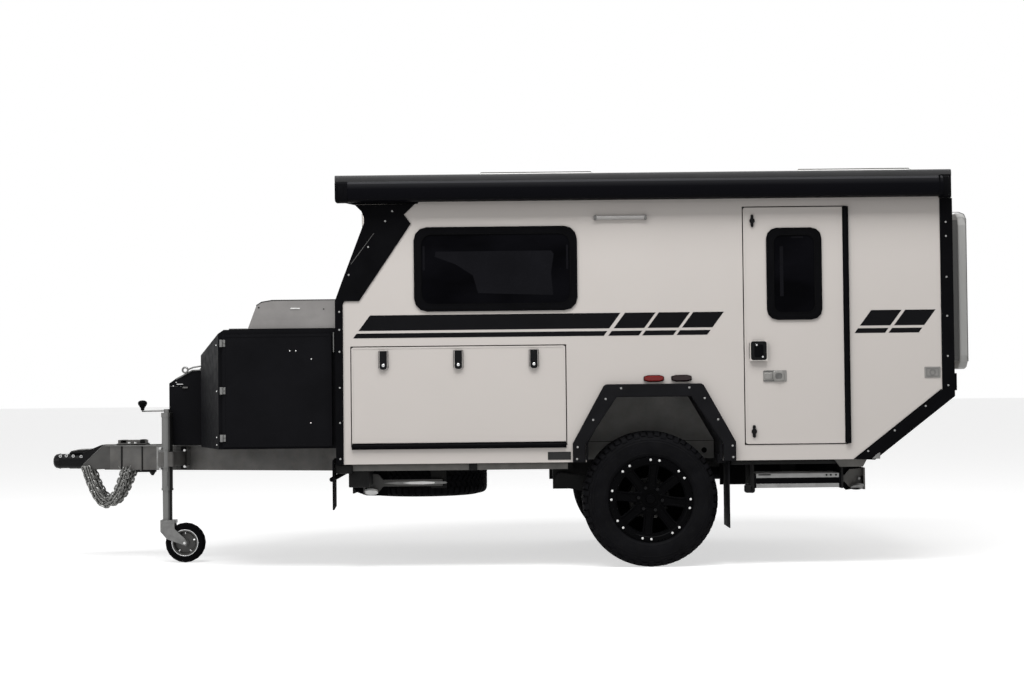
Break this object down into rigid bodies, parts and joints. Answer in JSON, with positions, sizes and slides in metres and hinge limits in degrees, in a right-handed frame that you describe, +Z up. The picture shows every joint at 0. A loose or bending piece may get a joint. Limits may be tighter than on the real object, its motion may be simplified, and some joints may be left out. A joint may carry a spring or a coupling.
{
  "type": "off-road hybrid camper trailer",
  "caption": "Single-axle off-road camper trailer: hollow cabin with lifting roof, side hatches, front toolbox, A-frame with coupling and jockey wheel, legs and step.",
  "frame": {"origin": "on the ground below the middle of the overall box", "axes": "+X to the rear, away from the coupling; +Z up; the door side is -Y"},
  "size_m": [5.637, 2.09, 2.39],
  "materials": {
    "chassis_grey": "grey painted steel",
    "trim_black": "black powder coat",
    "arch_black": "black moulded plastic",
    "box_black": "black powder coat",
    "galvanised": "galvanised steel",
    "aluminium": "brushed aluminium",
    "rubber": "black rubber",
    "tyre": "tyre rubber",
    "dark_glass": "dark tinted acrylic",
    "body_white": "satin off-white composite panel",
    "hatch_white": "white moulded plastic",
    "board": "sealed board",
    "canvas": "grey canvas",
    "lamp_red": "red lens"
  },
  "bodies": {
    "chassis": {"drawbar": "chassis_grey", "chassis_rail_left": "chassis_grey", "chassis_rail_right": "chassis_grey", "coupling": "trim_black", "safety_chain_left": "galvanised", "safety_chain_right": "galvanised", "jockey_outer_tube": "galvanised", "spare_wheel": "tyre", "suspension_arm_left": "chassis_grey", "suspension_arm_right": "chassis_grey", "coil_strut_left": "trim_black", "coil_strut_right": "trim_black", "toolbox": "box_black", "top_box": "aluminium", "front_locker": "box_black", "window_left": "dark_glass", "window_right": "dark_glass", "wall_left": "body_white", "wall_right": "body_white", "wall_front": "body_white", "wall_rear": "body_white", "floor": "board", "bed_base": "board", "roof_canvas": "canvas", "wheel_arch_left": "arch_black", "wheel_arch_right": "arch_black", "front_trim_left": "trim_black", "front_trim_right": "trim_black", "rear_trim_left": "trim_black", "rear_trim_right": "trim_black", "rear_pod": "hatch_white", "water_tank": "trim_black", "stone_guard": "rubber", "side_lamp_left": "lamp_red", "side_lamp_right": "lamp_red"},
    "wheel_l": {"tyre_left": "tyre", "rim_left": "trim_black"},
    "wheel_r": {"tyre_right": "tyre", "rim_right": "trim_black"},
    "jockey_leg": {"jockey_inner_tube": "galvanised"},
    "jockey_swivel": {"jockey_fork": "galvanised"},
    "jockey_roller": {"jockey_rim": "galvanised", "jockey_tyre": "rubber"},
    "tool_flap_l": {"toolbox_door_left": "box_black"},
    "tool_flap_r": {"toolbox_door_right": "box_black"},
    "locker_flap": {"front_locker_lid": "box_black"},
    "door": {"entry_door": "body_white", "door_window": "dark_glass"},
    "kitchen_flap": {"kitchen_hatch": "body_white"},
    "boot_flap": {"boot_hatch": "body_white"},
    "top_roof": {"roof": "body_white", "awning_cassette": "trim_black"},
    "vent_front": {"roof_hatch_front": "hatch_white"},
    "vent_rear": {"roof_hatch_rear": "hatch_white"},
    "step": {"entry_step": "aluminium"},
    "steady_front_l": {"leg_front_left": "galvanised"},
    "steady_front_r": {"leg_front_right": "galvanised"},
    "steady_rear_l": {"leg_rear_left": "galvanised"},
    "steady_rear_r": {"leg_rear_right": "galvanised"}
  },
  "joints": [
    {"name": "wheel_left_spin", "type": "hinge", "parent": "chassis", "child": "wheel_l", "pos_m": [0.8925, -0.8375, 0.395], "axis": [0, 1, 0], "continuous": true},
    {"name": "wheel_right_spin", "type": "hinge", "parent": "chassis", "child": "wheel_r", "pos_m": [0.8925, 0.8375, 0.395], "axis": [0, 1, 0], "continuous": true},
    {"name": "jockey_wind", "type": "slide", "parent": "chassis", "child": "jockey_leg", "axis": [0, 0, 1], "range_m": [-0.12, 0.15]},
    {"name": "jockey_caster", "type": "hinge", "parent": "jockey_leg", "child": "jockey_swivel", "pos_m": [-2.0355, -0.345, 0.25], "axis": [0, 0, 1], "continuous": true},
    {"name": "jockey_spin", "type": "hinge", "parent": "jockey_swivel", "child": "jockey_roller", "pos_m": [-1.9255, -0.345, 0.1215], "axis": [0, 1, 0], "continuous": true},
    {"name": "toolbox_left_swing", "type": "hinge", "parent": "chassis", "child": "tool_flap_l", "pos_m": [-1.604, -0.9388, 1.05], "axis": [0, 0, -1], "range_deg": [0, 110]},
    {"name": "toolbox_right_swing", "type": "hinge", "parent": "chassis", "child": "tool_flap_r", "pos_m": [-1.604, 0.9388, 1.05], "axis": [0, 0, 1], "range_deg": [0, 110]},
    {"name": "locker_lift", "type": "hinge", "parent": "chassis", "child": "locker_flap", "pos_m": [-1.8138, 0, 1.185], "axis": [0, 1, 0], "range_deg": [0, 80]},
    {"name": "door_swing", "type": "hinge", "parent": "chassis", "child": "door", "pos_m": [2.039, -0.992, 1.4], "axis": [0, 0, 1], "range_deg": [0, 170]},
    {"name": "kitchen_drop", "type": "hinge", "parent": "chassis", "child": "kitchen_flap", "pos_m": [-0.2185, -0.992, 0.721], "axis": [1, 0, 0], "range_deg": [0, 90]},
    {"name": "boot_lift", "type": "hinge", "parent": "chassis", "child": "boot_flap", "pos_m": [-0.3825, 0.992, 1.252], "axis": [1, 0, 0], "range_deg": [0, 100]},
    {"name": "roof_lift", "type": "slide", "parent": "chassis", "child": "top_roof", "axis": [0, 0, 1], "range_m": [0, 0.45], "deforming": ["roof_canvas"]},
    {"name": "vent_front_tilt", "type": "hinge", "parent": "top_roof", "child": "vent_front", "pos_m": [0.6175, 0, 2.301], "axis": [0, 1, 0], "range_deg": [0, 60]},
    {"name": "vent_rear_tilt", "type": "hinge", "parent": "top_roof", "child": "vent_rear", "pos_m": [2.5925, 0, 2.301], "axis": [0, 1, 0], "range_deg": [0, 60]},
    {"name": "step_slide", "type": "slide", "parent": "chassis", "child": "step", "axis": [0, -1, 0], "range_m": [0, 0.25]},
    {"name": "steady_front_left_swing", "type": "hinge", "parent": "chassis", "child": "steady_front_l", "pos_m": [-0.3575, -0.6, 0.487], "axis": [0, -1, 0], "range_deg": [0, 90]},
    {"name": "steady_front_right_swing", "type": "hinge", "parent": "chassis", "child": "steady_front_r", "pos_m": [-0.3575, 0.6, 0.487], "axis": [0, -1, 0], "range_deg": [0, 90]},
    {"name": "steady_rear_left_swing", "type": "hinge", "parent": "chassis", "child": "steady_rear_l", "pos_m": [1.7505, -0.6, 0.487], "axis": [0, 1, 0], "range_deg": [0, 90]},
    {"name": "steady_rear_right_swing", "type": "hinge", "parent": "chassis", "child": "steady_rear_r", "pos_m": [1.7505, 0.6, 0.487], "axis": [0, 1, 0], "range_deg": [0, 90]}
  ]
}
